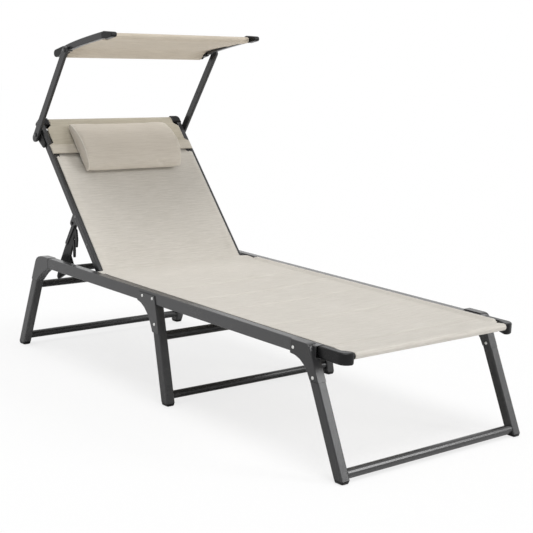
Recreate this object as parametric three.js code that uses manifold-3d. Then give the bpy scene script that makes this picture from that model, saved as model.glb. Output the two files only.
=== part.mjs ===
// Sun lounger with canopy: a wide aluminium lounger with a stretched fabric seat and backrest,
// a toothed prop that holds the backrest, a padded headrest and a small tilting canopy.
// Millimetres, +Z up, +Y from the foot end to the head end, X across. Left and right are the sitter's.
import * as THREE from 'three';
import { mergeVertices } from 'three/addons/utils/BufferGeometryUtils.js';
import Module from 'manifold-3d';

const wasm = await Module();
wasm.setup();

// Shared clearances and tube make-up
const gap = 0.3;
const overrun = 6;
const tubeWall = 2;
const tubeCorner = 4;
const castingBevel = 2.2;
const mouldingBevel = 5;
const weldTolerance = 1e-4;
const cornerSteps = 2;
const roundSteps = 5;
const barSteps = 8;
const bevelSteps = 2;
const mouldingSteps = 3;
const domeSteps = 3;
const tubeSteps = 10;
const clothSteps = 8;

// Seat rails
const seatHeight = 342;
const railHalfSpan = 352;
const railWidth = 30;
const railHeight = 36;
const railLength = 1356;

// Channel on the inner side of a rail, which grips the bead of the sling
const channelRadius = 6;
const channelBore = 3.8;
const channelSlotAngle = 0.38;
const channelDrop = 7;
const channelBite = 1;
const channelStop = 18;
const beadRadius = 3.3;

// Corner caps and the bar at the foot end
const capLength = 104;
const railEnd = capLength + railLength;
const capInset = 6;
const capHalfSpan = railHalfSpan - capInset;
const capArmWidth = 40;
const capInnerHalfSpan = capHalfSpan - capArmWidth;
const capNose = 41;
const capWall = 26;
const capHeight = 34;
const capCornerRadius = 27;
const capTipRadius = 12;
const spigotLength = 28;
const footBarRadius = 8;
const footBarInset = 11;
const footBarDrop = 11;
const footBarSocket = 20;

// Legs: the height of the lower end, the slope in Y per Z, and the place of the axis at the rail's underside
const legWidth = 30;
const legDepth = 33.5;
const padHeight = 10;
const padProud = 1;
const padRounding = 7;
const padPlugLength = 18;
const footLegProud = 14;
const footLegHalfSpan = railHalfSpan + footLegProud;
const footLegSlope = 0.462;
const footLegTop = 118;
const middleLegSlope = 0.25;
const middleLegTop = 841.2;
const rearLegSlope = -0.351;
const rearLegBehind = 71.6;
const rearLegTop = railEnd + rearLegBehind;

// Foot brackets, cast elbows that join a rail to a foot leg
const footBracketTop = 3;
const footBracketReach = 73;
const footBracketDrop = 93;
const footBracketInside = 2;

// Middle gusset plates
const plateThickness = 3;
const plateReach = 78;
const plateHeadroom = 8;
const plateDrop = 114;
const plateWaist = 18;

// Rear elbows, which turn the rail down into the rear leg
const elbowDrop = 90;
const elbowProud = 1;
const elbowCornerDrop = 25;
const elbowCornerReach = 40;
const elbowGusset = 20;

// Cross members
const legBarRadius = 14;
const footLowerBarHeight = 21;
const middleUpperBarDrop = 133;
const middleUpperBarHeight = seatHeight - middleUpperBarDrop;
const middleLowerBarHeight = 30.5;
const middleLowerBarRadius = 12.5;
const rearUpperBarDrop = 110;
const rearUpperBarHeight = seatHeight - rearUpperBarDrop;
const rearUpperBarRadius = 12.5;
const rearLowerBarHeight = 34;
const rearLowerBarRadius = 13;
const catchBarRadius = 11;
const catchBarAhead = 75;
const catchBarY = railEnd - catchBarAhead;
const catchBarDrop = 25;
const catchBarHeight = seatHeight - catchBarDrop;
const seatRearBarRadius = 9;

// Sling cloth
const clothThickness = 2;

// Backrest: local Y runs up the frame from the hinge and local Z points out of its front
const backrestAngleDegrees = 48.8;
const pivotAhead = 241.8;
const pivotY = railEnd - pivotAhead;
const seatSlingGap = 40.2;
const seatSlingEnd = pivotY - seatSlingGap;
const pivotDrop = 15;
const pivotHeight = seatHeight - pivotDrop;
const backrestClearance = 18.5;
const backrestHalfSpan = railHalfSpan - railWidth - backrestClearance;
const backrestTubeWidth = 20;
const backrestTubeDepth = 25;
const backrestTubeEnd = 596.5;
const backrestTubeTail = 14;
const pivotPinRadius = 6;
const pivotCollarRadius = 10;
const backSlingFront = 9;
const lowerBarRadius = 7;
const lowerBarPlace = 32;
const topBarRadius = 10;
const topBarPlace = 612;
const cornerCapProud = 1.5;
const cornerCapOuter = backrestHalfSpan + cornerCapProud;
const cornerCapWidth = 41;
const cornerCapInner = cornerCapOuter - cornerCapWidth;
const cornerCapRadius = 14;

// Headrest hood and pillow
const hoodHem = 475;
const hoodShoulder = 515;
const hoodInset = 20.5;
const hoodHalfWidth = backrestHalfSpan - hoodInset;
const pillowHalfWidth = 213;
const pillowLow = 392;
const pillowHigh = 598;
const pillowDepth = 50;
const pillowCrownShare = 0.12;
const pillowRound = 25.75;
const pillowBrow = 103;
const pillowLead = 34.3;
const pillowEdge = 16.7;
const pillowFall = 35;
const pillowSteps = 10;
const pillowPiping = 6.25;

// Prop: local Y runs down the rack from its axle and local Z points to the head end
const propAngleDegrees = -63.65;
const propPlace = 226;
const propBehind = 41;
const propAxleRadius = 5;
const propLugRadius = 11;
const propLugHalfBase = 21;
const propLugThickness = 7;
const rackThickness = 6;
const rackInset = 16.5;
const rackOuterHalfSpan = backrestHalfSpan - rackInset;
const rackLength = 226;
const rackNeckRadius = 10;
const rackWidth = 64;
const rackBack = 14;
const stiffenerThickness = 3;
const stiffenerLength = 90;
const stiffenerRadius = 8;

// Canopy arms: local Y runs up the arm
const armPlace = 573.4;
const armBehind = 13;
const armAngleDegrees = 121.1;
const armLength = 348.7;
const armWidth = 27;
const armThickness = 10.5;
const armTail = 13;
const armWall = 1.8;
const drainRadius = 2;
const armBoltRadius = 4;
const boltHeadRadius = 7.5;
const boltHeadHeight = 3;
const bracketThickness = 5.8;
const armClearance = 0.7;
const armInnerHalfSpan = backrestHalfSpan + bracketThickness + armClearance;
const bracketBossRadius = 17;
const bracketTail = 46;
const bracketTailRadius = 11;

// Canopy: places measured from the tilt bolts, Y toward the head and Z up
const canopyClearance = 4;
const canopyTubeHalfSpan = armInnerHalfSpan - canopyClearance;
const canopyTubeWidth = 16;
const canopyTubeDepth = 22;
const canopyReach = 203;
const canopyRise = 57.5;
const canopyTubeLift = 8;
const canopyTail = 76;
const canopyTailDrop = 13.5;
const canopyTailRadius = 13;
const canopyRearBarPlace = 50;
const canopyRearBarDrop = 16.5;
const canopyBarRadius = 8;
const canopyFrontBarAhead = 16.5;
const canopyFrontBarDrop = 1.5;
const canopyNoseAhead = 47;
const canopyNoseRise = 4;
const canopyNoseRadius = 8.5;
const canopyBow = 4;

// Fasteners
const rivetRadius = 5;
const rivetHeight = 2.2;

const finishes = {
  graphite: { color: 0x55565a, roughness: 0.42, metalness: 0.55 },
  blackPlastic: { color: 0x222324, roughness: 0.5, metalness: 0 },
  steel: { color: 0x9c9ea1, roughness: 0.35, metalness: 0.85 },
  cloth: { color: 0xcdc5b8, roughness: 0.9, metalness: 0 },
  padding: { color: 0xc9c0b2, roughness: 0.95, metalness: 0 },
};

// Geometry helpers

function solidOf(geometry) {
  const bare = geometry.clone();
  bare.deleteAttribute('normal');
  bare.deleteAttribute('uv');
  const merged = mergeVertices(bare, weldTolerance);
  const vertProperties = new Float32Array(merged.attributes.position.array);
  const triVerts = new Uint32Array(merged.index.array);
  return new wasm.Manifold(new wasm.Mesh({ numProp: 3, vertProperties, triVerts }));
}

function geometryOf(solid) {
  const mesh = solid.getMesh();
  const geometry = new THREE.BufferGeometry();
  geometry.setAttribute('position', new THREE.BufferAttribute(mesh.vertProperties, 3));
  geometry.setIndex(new THREE.BufferAttribute(mesh.triVerts, 1));
  geometry.computeVertexNormals();
  return geometry;
}

function joined(first, ...rest) {
  return geometryOf(rest.reduce((solid, next) => solid.add(solidOf(next)), solidOf(first)));
}

function cutBy(body, ...tools) {
  return geometryOf(tools.reduce((solid, tool) => solid.subtract(solidOf(tool)), solidOf(body)));
}

function commonTo(body, tool) {
  return geometryOf(solidOf(body).intersect(solidOf(tool)));
}

// A shape drawn in (Y, Z) is swept across X; one drawn in (X, Z) is swept along Y
const sideOn = new THREE.Matrix4().set(0, 0, 1, 0, 1, 0, 0, 0, 0, 1, 0, 0, 0, 0, 0, 1);

function swept(shape, low, high, bevel, steps, curveSegments, bevelSegments = bevelSteps) {
  const geometry = new THREE.ExtrudeGeometry(shape, {
    depth: high - low - 2 * bevel,
    bevelEnabled: bevel > 0,
    bevelThickness: bevel,
    bevelSize: bevel,
    bevelOffset: -bevel,
    bevelSegments,
    curveSegments,
    steps,
  });
  return geometry.translate(0, 0, low + bevel);
}

function acrossX(shape, low, high, bevel = 0, steps = 1, curveSegments = roundSteps) {
  return swept(shape, low, high, bevel, steps, curveSegments).applyMatrix4(sideOn);
}

function alongY(shape, low, high, curveSegments = cornerSteps) {
  return swept(shape, -high, -low, 0, 1, curveSegments).rotateX(Math.PI / 2);
}

function upZ(shape, low, high, bevel = 0, curveSegments = cornerSteps, bevelSegments = bevelSteps) {
  return swept(shape, low, high, bevel, 1, curveSegments, bevelSegments);
}

function block(xRange, yRange, zRange) {
  const [x, y, z] = [xRange, yRange, zRange];
  const geometry = new THREE.BoxGeometry(x[1] - x[0], y[1] - y[0], z[1] - z[0]);
  return geometry.translate((x[0] + x[1]) / 2, (y[0] + y[1]) / 2, (z[0] + z[1]) / 2);
}

function roundedShape(width, height, radius) {
  const x = width / 2 - radius;
  const y = height / 2 - radius;
  const shape = new THREE.Shape();
  shape.absarc(x, y, radius, 0, Math.PI / 2);
  shape.absarc(-x, y, radius, Math.PI / 2, Math.PI);
  shape.absarc(-x, -y, radius, Math.PI, Math.PI * 1.5);
  shape.absarc(x, -y, radius, Math.PI * 1.5, Math.PI * 2);
  return shape;
}

function tubeShape(width, height, wall, corner) {
  const shape = roundedShape(width, height, corner);
  shape.holes.push(roundedShape(width - 2 * wall, height - 2 * wall, Math.max(corner - wall, wall / 2)));
  return shape;
}

function circleShape(y, z, radius) {
  return new THREE.Shape().absarc(y, z, radius, 0, Math.PI * 2);
}

function rod(y, z, radius, low, high) {
  return acrossX(circleShape(y, z, radius), low, high, 0, 1, barSteps);
}

function pipe(y, z, radius, low, high) {
  const shape = circleShape(y, z, radius);
  shape.holes.push(circleShape(y, z, radius - tubeWall));
  return acrossX(shape, low, high, 0, 1, barSteps);
}

// The outline of a strap pulled tight round a set of discs, each given as [y, z, radius]
function strapShape(discs) {
  const points = discs.flatMap(([y, z, radius]) => circleShape(y, z, radius).getPoints(barSteps));
  const sorted = points.sort((a, b) => a.x - b.x || a.y - b.y);
  const turn = (o, a, b) => (a.x - o.x) * (b.y - o.y) - (a.y - o.y) * (b.x - o.x);
  const chain = (list) => {
    const hull = [];
    for (const point of list) {
      while (hull.length > 1 && turn(...hull.slice(-2), point) <= weldTolerance) {
        hull.pop();
      }
      hull.push(point);
    }
    return hull.slice(0, -1);
  };
  return new THREE.Shape([...chain(sorted), ...chain([...sorted].reverse())]);
}

// The band of a given half depth on both sides of a curve in (Y, Z)
function bandShape(curve, halfDepthAt, divisions) {
  const upper = [];
  const lower = [];
  for (let step = 0; step <= divisions; step += 1) {
    const along = step / divisions;
    const point = curve.getPoint(along);
    const tangent = curve.getTangent(along);
    const half = halfDepthAt(along);
    upper.push(new THREE.Vector2(point.x - tangent.y * half, point.y + tangent.x * half));
    lower.push(new THREE.Vector2(point.x + tangent.y * half, point.y - tangent.x * half));
  }
  return new THREE.Shape([...lower, ...upper.reverse()]);
}

// A span between two distances from the centre line, on the given side
function span(side, inner, outer) {
  return side > 0 ? [inner, outer] : [-outer, -inner];
}

// Domed rivet heads on an outer face, each a little way into it so that it is one with the piece
function rivets(places, side, faceHalfSpan) {
  const profile = [new THREE.Vector2(0, -rivetHeight / 4), new THREE.Vector2(rivetRadius, -rivetHeight / 4)];
  for (let step = 0; step <= domeSteps; step += 1) {
    const angle = (Math.PI / 2) * (step / domeSteps);
    profile.push(new THREE.Vector2(rivetRadius * Math.cos(angle), rivetHeight * Math.sin(angle)));
  }
  return places.map(([y, z]) => {
    const dome = new THREE.LatheGeometry(profile, 2 * barSteps);
    return dome.rotateZ(-side * Math.PI / 2).translate(side * faceHalfSpan, y, z);
  });
}

// The assembly

const lounger = new THREE.Group();
const backrest = new THREE.Group();
const prop = new THREE.Group();
const arms = new THREE.Group();
const canopy = new THREE.Group();

function piece(group, name, geometry, finish) {
  const mesh = new THREE.Mesh(geometry, new THREE.MeshStandardMaterial(finishes[finish]));
  mesh.name = name;
  group.add(mesh);
}

const sides = [[-1, 'right'], [1, 'left']];
const railInner = railHalfSpan - railWidth;
const railBottom = seatHeight - railHeight;
const railMiddle = seatHeight - railHeight / 2;
const channelCentre = railInner + channelBite - channelRadius;
const channelHeight = seatHeight - channelDrop;
const channelEnd = seatSlingEnd - channelStop;
const footBarHeight = seatHeight - footBarDrop;

const legLines = {
  foot: { slope: footLegSlope, top: footLegTop, outer: footLegHalfSpan },
  middle: { slope: middleLegSlope, top: middleLegTop, outer: railHalfSpan },
  rear: { slope: rearLegSlope, top: rearLegTop, outer: railHalfSpan },
};

function legY(line, z) {
  return line.top + line.slope * (z - railBottom);
}

// A tube or plug that leans with a leg: a flat section raised in Z and sheared in Y
function leaning(line, side, shape, low, high, bevel = 0) {
  const centre = side * (line.outer - legWidth / 2);
  const lean = new THREE.Matrix4().makeShear(0, 0, 0, 0, 0, line.slope);
  const upright = upZ(shape, low - railBottom, high - railBottom, bevel).applyMatrix4(lean);
  return upright.translate(centre, line.top, railBottom);
}

function legTube(line, side, low, high) {
  return leaning(line, side, tubeShape(legWidth, legDepth, tubeWall, tubeCorner), low, high);
}

function legPlug(line, side, low, high) {
  const inset = 2 * (tubeWall + gap);
  return leaning(line, side, roundedShape(legWidth - inset, legDepth - inset, tubeWall), low, high);
}

function legPad(line, side) {
  const plan = roundedShape(legWidth, legDepth + 2 * padProud, padRounding + padProud);
  const tall = 2 * padHeight + padRounding;
  const cushion = upZ(plan, 0, tall, padRounding).translate(
    side * (line.outer - legWidth / 2), legY(line, padHeight), 0);
  const far = 2 * (line.outer + legWidth);
  const keep = block([-far, far], [-far, 2 * railEnd], [-overrun, padHeight - gap]);
  const foot = commonTo(cushion, keep);
  return joined(foot, legPlug(line, side, padHeight - 2 * gap, padHeight + padPlugLength));
}

// Rails

function railTube(side) {
  const [low, high] = [capLength + gap, railEnd - gap];
  const box = alongY(tubeShape(railWidth, railHeight, tubeWall, tubeCorner), low, high)
    .translate(side * (railHalfSpan - railWidth / 2), 0, railMiddle);
  const lips = new THREE.Shape();
  const open = side > 0 ? Math.PI : 0;
  lips.absarc(0, 0, channelRadius, open + channelSlotAngle, open + Math.PI * 2 - channelSlotAngle);
  lips.absarc(0, 0, channelBore, open - channelSlotAngle, open + channelSlotAngle, true);
  const channel = alongY(lips, low, channelEnd, barSteps).translate(side * channelCentre, 0, channelHeight);
  const hinge = rod(pivotY, pivotHeight, pivotPinRadius + gap,
    ...span(side, railInner - overrun, railInner + overrun));
  return cutBy(joined(box, channel), hinge);
}

// Foot end caps and bar

function footCap(side) {
  const nose = capHalfSpan - capCornerRadius;
  const plan = new THREE.Shape();
  plan.moveTo(capInnerHalfSpan, capNose);
  plan.absarc(capInnerHalfSpan + capTipRadius, capTipRadius, capTipRadius, Math.PI, Math.PI * 1.5);
  plan.lineTo(nose, 0);
  plan.absarc(nose, capCornerRadius, capCornerRadius, -Math.PI / 2, 0);
  plan.lineTo(capHalfSpan, capLength);
  plan.lineTo(capHalfSpan - capWall, capLength);
  plan.lineTo(capHalfSpan - capWall, capNose);
  plan.closePath();
  const shell = upZ(plan, seatHeight - capHeight, seatHeight, mouldingBevel, roundSteps, mouldingSteps);
  const [low, high] = [railInner + tubeWall + gap, capHalfSpan - tubeWall];
  const depth = railHeight - 2 * (tubeWall + gap);
  const spigot = alongY(roundedShape(high - low, depth, tubeWall),
    capLength - castingBevel, capLength + spigotLength).translate((low + high) / 2, 0, railMiddle);
  const socket = rod(footBarInset, footBarHeight, footBarRadius + gap,
    capInnerHalfSpan - overrun, capInnerHalfSpan + footBarSocket);
  return mirrored(cutBy(joined(shell, spigot), socket), side);
}

function mirrored(geometry, side) {
  if (side > 0) {
    return geometry;
  }
  const flipped = geometry.clone().scale(-1, 1, 1);
  const index = flipped.index.array;
  for (let corner = 0; corner < index.length; corner += 3) {
    [index[corner + 1], index[corner + 2]] = [index[corner + 2], index[corner + 1]];
  }
  flipped.computeVertexNormals();
  return flipped;
}

// Foot bracket: a casting that laps the rail's outer side, with a plug down into the leg

function footBracket(side) {
  const line = legLines.foot;
  const low = seatHeight - footBracketDrop;
  const top = seatHeight + footBracketTop;
  const front = (z) => legY(line, z) - legDepth / 2;
  const back = (z) => legY(line, z) + legDepth / 2;
  const tail = front(seatHeight) + footBracketReach;
  const crown = front(seatHeight) + legDepth / 4;
  const outline = new THREE.Shape();
  outline.moveTo(front(low), low);
  outline.lineTo(front(seatHeight - 2 * footBracketTop), seatHeight - 2 * footBracketTop);
  outline.quadraticCurveTo(front(top), top, crown + legDepth / 4, top);
  outline.lineTo(tail, top);
  outline.lineTo(tail, railBottom);
  outline.quadraticCurveTo(back(railBottom), railBottom, back(low), low);
  outline.closePath();
  const inner = footLegHalfSpan - legWidth;
  const casting = acrossX(outline, ...span(side, inner - overrun, footLegHalfSpan), castingBevel);
  const pocket = block(span(side, 0, railHalfSpan + gap), [0, 2 * tail],
    [railBottom - gap, seatHeight + gap]);
  const trim = block(span(side, 0, inner), [-tail, 2 * tail], [0, 2 * seatHeight]);
  const plug = legPlug(line, side, low - spigotLength, low + footBracketInside);
  const places = [[tail - railHeight / 3, railMiddle], [legY(line, low + padHeight), low + padHeight]];
  return joined(cutBy(casting, pocket, trim), plug, ...rivets(places, side, footLegHalfSpan));
}

// Middle gusset plate: flat, riveted to the outer faces of rail and leg

function middlePlate(side) {
  const line = legLines.middle;
  const low = seatHeight - plateDrop;
  const top = seatHeight - plateHeadroom;
  const front = (z) => legY(line, z) - legDepth / 2;
  const back = (z) => legY(line, z) + legDepth / 2;
  const reach = legY(line, railBottom) + plateReach;
  const outline = new THREE.Shape();
  outline.moveTo(front(low) + plateHeadroom, low - plateHeadroom);
  outline.quadraticCurveTo(front(low), low - plateHeadroom, front(low), low);
  outline.lineTo(front(top), top);
  outline.lineTo(reach - plateHeadroom, top);
  outline.quadraticCurveTo(reach, top, reach, top - plateHeadroom);
  outline.lineTo(reach, railBottom);
  outline.quadraticCurveTo(back(railBottom) + plateWaist / 2, railBottom - plateWaist / 2, back(low), low);
  outline.quadraticCurveTo(back(low), low - plateHeadroom, back(low) - plateHeadroom, low - plateHeadroom);
  outline.closePath();
  const face = railHalfSpan + gap + plateThickness;
  const plate = acrossX(outline, ...span(side, railHalfSpan + gap, face));
  const places = [
    [legY(line, railMiddle) - rivetRadius, railMiddle],
    [reach - railHeight / 2 - plateHeadroom, railMiddle],
    [legY(line, low + railHeight / 2), low + railHeight / 2],
  ];
  return joined(plate, ...rivets(places, side, face));
}

// Rear elbow: a hollow-looking casting with plugs into the rail and the leg

function rearElbow(side) {
  const line = legLines.rear;
  const low = seatHeight - elbowDrop;
  const front = (z) => legY(line, z) - legDepth / 2 - elbowProud;
  const back = (z) => legY(line, z) + legDepth / 2 + elbowProud;
  const top = seatHeight + elbowProud;
  const under = railBottom - elbowProud;
  const outline = new THREE.Shape();
  outline.moveTo(railEnd, under);
  outline.quadraticCurveTo(front(under) - elbowGusset, under - elbowGusset / 2, front(low), low);
  outline.lineTo(back(low), low);
  outline.lineTo(back(top - elbowCornerDrop), top - elbowCornerDrop);
  outline.quadraticCurveTo(back(top), top, back(top) - elbowCornerReach, top);
  outline.lineTo(railEnd, top);
  outline.closePath();
  const xs = span(side, railInner - elbowProud, railHalfSpan + elbowProud);
  const casting = acrossX(outline, ...xs, castingBevel);
  const inset = 2 * (tubeWall + gap);
  const railPlug = alongY(roundedShape(railWidth - inset, railHeight - inset, tubeWall),
    railEnd - spigotLength, railEnd + castingBevel)
    .translate(side * (railHalfSpan - railWidth / 2), 0, railMiddle);
  return joined(casting, railPlug, legPlug(line, side, low - spigotLength, low + castingBevel));
}

for (const [side, hand] of sides) {
  piece(lounger, `rail_${hand}`, railTube(side), 'graphite');
  piece(lounger, `foot_corner_cap_${hand}`, footCap(side), 'blackPlastic');
  piece(lounger, `foot_bracket_${hand}`, footBracket(side), 'graphite');
  piece(lounger, `foot_leg_${hand}`,
    legTube(legLines.foot, side, padHeight, seatHeight - footBracketDrop - gap), 'graphite');
  piece(lounger, `middle_plate_${hand}`, middlePlate(side), 'graphite');
  piece(lounger, `middle_leg_${hand}`,
    legTube(legLines.middle, side, padHeight, railBottom - gap), 'graphite');
  piece(lounger, `rear_elbow_${hand}`, rearElbow(side), 'graphite');
  piece(lounger, `rear_leg_${hand}`,
    legTube(legLines.rear, side, padHeight, seatHeight - elbowDrop - gap), 'graphite');
  for (const [name, line] of Object.entries(legLines)) {
    piece(lounger, `${name}_pad_${hand}`, legPad(line, side), 'blackPlastic');
  }
}

// Cross members of the seat frame

function legBar(line, z, radius) {
  const reach = line.outer - legWidth - gap;
  return pipe(legY(line, z), z, radius, -reach, reach);
}

const railBarReach = railInner - gap;
const footBarReach = capInnerHalfSpan + footBarSocket - gap;
const seatRearBarHeight = channelHeight + clothThickness / 2 - gap - seatRearBarRadius;
const seatFrameBars = {
  foot_crossbar: pipe(footBarInset, footBarHeight, footBarRadius, -footBarReach, footBarReach),
  foot_lower_crossbar: legBar(legLines.foot, footLowerBarHeight, legBarRadius),
  middle_upper_crossbar: legBar(legLines.middle, middleUpperBarHeight, legBarRadius),
  middle_lower_crossbar: legBar(legLines.middle, middleLowerBarHeight, middleLowerBarRadius),
  rear_upper_crossbar: legBar(legLines.rear, rearUpperBarHeight, rearUpperBarRadius),
  rear_lower_crossbar: legBar(legLines.rear, rearLowerBarHeight, rearLowerBarRadius),
  catch_crossbar: pipe(catchBarY, catchBarHeight, catchBarRadius, -railBarReach, railBarReach),
  seat_rear_bar: pipe(seatSlingEnd, seatRearBarHeight, seatRearBarRadius, -railBarReach, railBarReach),
};
for (const [name, bar] of Object.entries(seatFrameBars)) {
  piece(lounger, name, bar, 'graphite');
}

// Seat sling: a sheet with a sleeve round the bar at each end and a bead along each side

function sleeve(y, z, radius, low, high) {
  return rod(y, z, radius + gap + clothThickness, low, high);
}

function seatSling() {
  const [low, high] = [channelHeight - clothThickness / 2, channelHeight + clothThickness / 2];
  const half = channelCentre;
  const sheet = block([-half, half], [footBarInset, seatSlingEnd], [low, high]);
  const loops = [
    sleeve(footBarInset, footBarHeight, footBarRadius, -capInnerHalfSpan + gap, capInnerHalfSpan - gap),
    sleeve(seatSlingEnd, seatRearBarHeight, seatRearBarRadius, -half, half),
  ];
  const beads = sides.map(([side]) => alongY(circleShape(0, 0, beadRadius),
    capLength + 2 * gap, channelEnd, barSteps).translate(side * channelCentre, 0, channelHeight));
  const bores = [
    rod(footBarInset, footBarHeight, footBarRadius + gap, -railHalfSpan, railHalfSpan),
    rod(seatSlingEnd, seatRearBarHeight, seatRearBarRadius + gap, -railHalfSpan, railHalfSpan),
  ];
  const notches = sides.flatMap(([side]) => [
    block(span(side, capInnerHalfSpan - gap, railHalfSpan), [-capNose, capNose + gap], [0, 2 * seatHeight]),
  ]);
  return cutBy(joined(sheet, ...loops, ...beads), ...bores, ...notches);
}

piece(lounger, 'seat_sling', seatSling(), 'cloth');

// Hinge pins of the backrest, with a collar between rail and backrest

function hingePin(side) {
  const start = backrestHalfSpan - backrestTubeWidth - tubeWall;
  const shaft = rod(pivotY, pivotHeight, pivotPinRadius, ...span(side, start, railInner + 2 * tubeWall));
  const collar = rod(pivotY, pivotHeight, pivotCollarRadius,
    ...span(side, backrestHalfSpan + gap, railInner - gap));
  return joined(shaft, collar);
}

for (const [side, hand] of sides) {
  piece(lounger, `hinge_pin_${hand}`, hingePin(side), 'steel');
}

// Backrest frame

const backrestTubeCentre = backrestHalfSpan - backrestTubeWidth / 2;
const backChannelCentre = backrestHalfSpan - backrestTubeWidth + channelBite - channelRadius;
const backSlingMiddle = backSlingFront - clothThickness / 2;
const topSleeve = topBarRadius + gap + clothThickness;
const hoodInside = topSleeve + gap;
const hoodOutside = Math.max(hoodInside, backrestTubeDepth / 2 + gap) + clothThickness;
const hoodBore = hoodOutside - clothThickness;

backrest.position.set(0, pivotY, pivotHeight);
backrest.rotation.x = THREE.MathUtils.degToRad(backrestAngleDegrees);

function backrestTube(side) {
  const box = alongY(tubeShape(backrestTubeWidth, backrestTubeDepth, tubeWall, tubeCorner),
    -backrestTubeTail, backrestTubeEnd).translate(side * backrestTubeCentre, 0, 0);
  const lips = new THREE.Shape();
  const open = side > 0 ? Math.PI : 0;
  lips.absarc(0, 0, channelRadius, open + channelSlotAngle, open + Math.PI * 2 - channelSlotAngle);
  lips.absarc(0, 0, channelBore, open - channelSlotAngle, open + channelSlotAngle, true);
  const channel = alongY(lips, lowerBarPlace + 2 * lowerBarRadius, hoodHem - gap, barSteps)
    .translate(side * backChannelCentre, 0, backSlingMiddle - clothThickness);
  const bore = rod(0, 0, pivotPinRadius + gap, ...span(side, 0, railInner));
  const heads = rivets([[propPlace / 2, 0], [propPlace, 0]], side, backrestHalfSpan);
  return cutBy(joined(box, channel, propLug(side), ...heads), bore);
}

function backCornerCap(side) {
  const depth = backrestTubeDepth / 2 + castingBevel;
  const high = topBarPlace + depth;
  const plan = new THREE.Shape();
  plan.moveTo(cornerCapInner, backrestTubeEnd + gap);
  plan.lineTo(cornerCapOuter, backrestTubeEnd + gap);
  plan.absarc(cornerCapOuter - cornerCapRadius, high - cornerCapRadius, cornerCapRadius, 0, Math.PI / 2);
  plan.lineTo(cornerCapInner, high);
  plan.closePath();
  const shell = upZ(plan, -depth, depth, mouldingBevel, roundSteps, mouldingSteps);
  const inset = 2 * (tubeWall + gap);
  const spigot = alongY(roundedShape(backrestTubeWidth - inset, backrestTubeDepth - inset, tubeWall),
    backrestTubeEnd - spigotLength, backrestTubeEnd + castingBevel).translate(backrestTubeCentre, 0, 0);
  const socket = rod(topBarPlace, 0, topBarRadius + gap,
    cornerCapInner - overrun, cornerCapInner + footBarSocket);
  return mirrored(cutBy(joined(shell, spigot), socket), side);
}

function backPlug(side) {
  const inset = 2 * (tubeWall + gap);
  const plug = alongY(roundedShape(backrestTubeWidth - inset, backrestTubeDepth - inset, tubeWall),
    -backrestTubeTail - gap, -pivotPinRadius - 2 * gap);
  const face = alongY(roundedShape(backrestTubeWidth, backrestTubeDepth, tubeCorner),
    -backrestTubeTail - gap - tubeWall, -backrestTubeTail - gap);
  return joined(plug, face).translate(side * backrestTubeCentre, 0, 0);
}

// Lug welded under each backrest tube, which carries the axle of the prop

const lugInner = rackOuterHalfSpan + stiffenerThickness + 2 * gap;

function propLug(side) {
  const base = -backrestTubeDepth / 2;
  const outline = strapShape([
    [propPlace, -propBehind, propLugRadius],
    [propPlace - propLugHalfBase, base, tubeWall / 2],
    [propPlace + propLugHalfBase, base, tubeWall / 2],
  ]);
  const xs = span(side, lugInner, lugInner + propLugThickness);
  const bore = rod(propPlace, -propBehind, propAxleRadius + gap, ...span(side, 0, railInner));
  return cutBy(acrossX(outline, ...xs), bore);
}

// Bracket on the outer side of each backrest tube that carries a canopy arm

function armBracket(side) {
  const outline = strapShape([
    [armPlace, -armBehind, bracketBossRadius],
    [armPlace - bracketTail, -armBehind / 2, bracketTailRadius],
  ]);
  const xs = span(side, backrestHalfSpan + gap, backrestHalfSpan + gap + bracketThickness);
  const bore = rod(armPlace, -armBehind, armBoltRadius + gap, ...span(side, 0, railInner));
  return cutBy(acrossX(outline, ...xs, castingBevel), bore);
}

for (const [side, hand] of sides) {
  piece(backrest, `backrest_tube_${hand}`, backrestTube(side), 'graphite');
  piece(backrest, `backrest_corner_cap_${hand}`, backCornerCap(side), 'blackPlastic');
  piece(backrest, `backrest_end_plug_${hand}`, backPlug(side), 'blackPlastic');
  piece(backrest, `arm_bracket_${hand}`, armBracket(side), 'blackPlastic');
}

const lowerBarReach = backrestHalfSpan - backrestTubeWidth - gap;
const topBarReach = cornerCapInner + footBarSocket - gap;
piece(backrest, 'backrest_lower_bar',
  pipe(lowerBarPlace, 0, lowerBarRadius, -lowerBarReach, lowerBarReach), 'graphite');
piece(backrest, 'backrest_top_bar',
  pipe(topBarPlace, 0, topBarRadius, -topBarReach, topBarReach), 'graphite');

function backrestSling() {
  const middle = backSlingMiddle - clothThickness;
  const low = middle - clothThickness / 2;
  const half = backChannelCentre;
  const narrow = cornerCapInner - gap;
  const sheet = block([-half, half], [lowerBarPlace, hoodHem - gap], [low, low + clothThickness]);
  const upper = block([-narrow, narrow], [hoodHem - overrun, topBarPlace], [low, low + clothThickness]);
  const loops = [
    sleeve(lowerBarPlace, 0, lowerBarRadius, -half, half),
    sleeve(topBarPlace, 0, topBarRadius, -narrow, narrow),
  ];
  const beads = sides.map(([side]) => alongY(circleShape(0, 0, beadRadius),
    lowerBarPlace + 2 * lowerBarRadius, hoodHem - gap, barSteps).translate(side * half, 0, middle));
  const bores = [
    rod(lowerBarPlace, 0, lowerBarRadius + gap, -railHalfSpan, railHalfSpan),
    rod(topBarPlace, 0, topBarRadius + gap, -railHalfSpan, railHalfSpan),
  ];
  return cutBy(joined(sheet, upper, ...loops, ...beads), ...bores);
}

piece(backrest, 'backrest_sling', backrestSling(), 'cloth');

// Headrest hood: a flat pocket pulled down over the top of the backrest, its hem as wide as the frame

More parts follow.
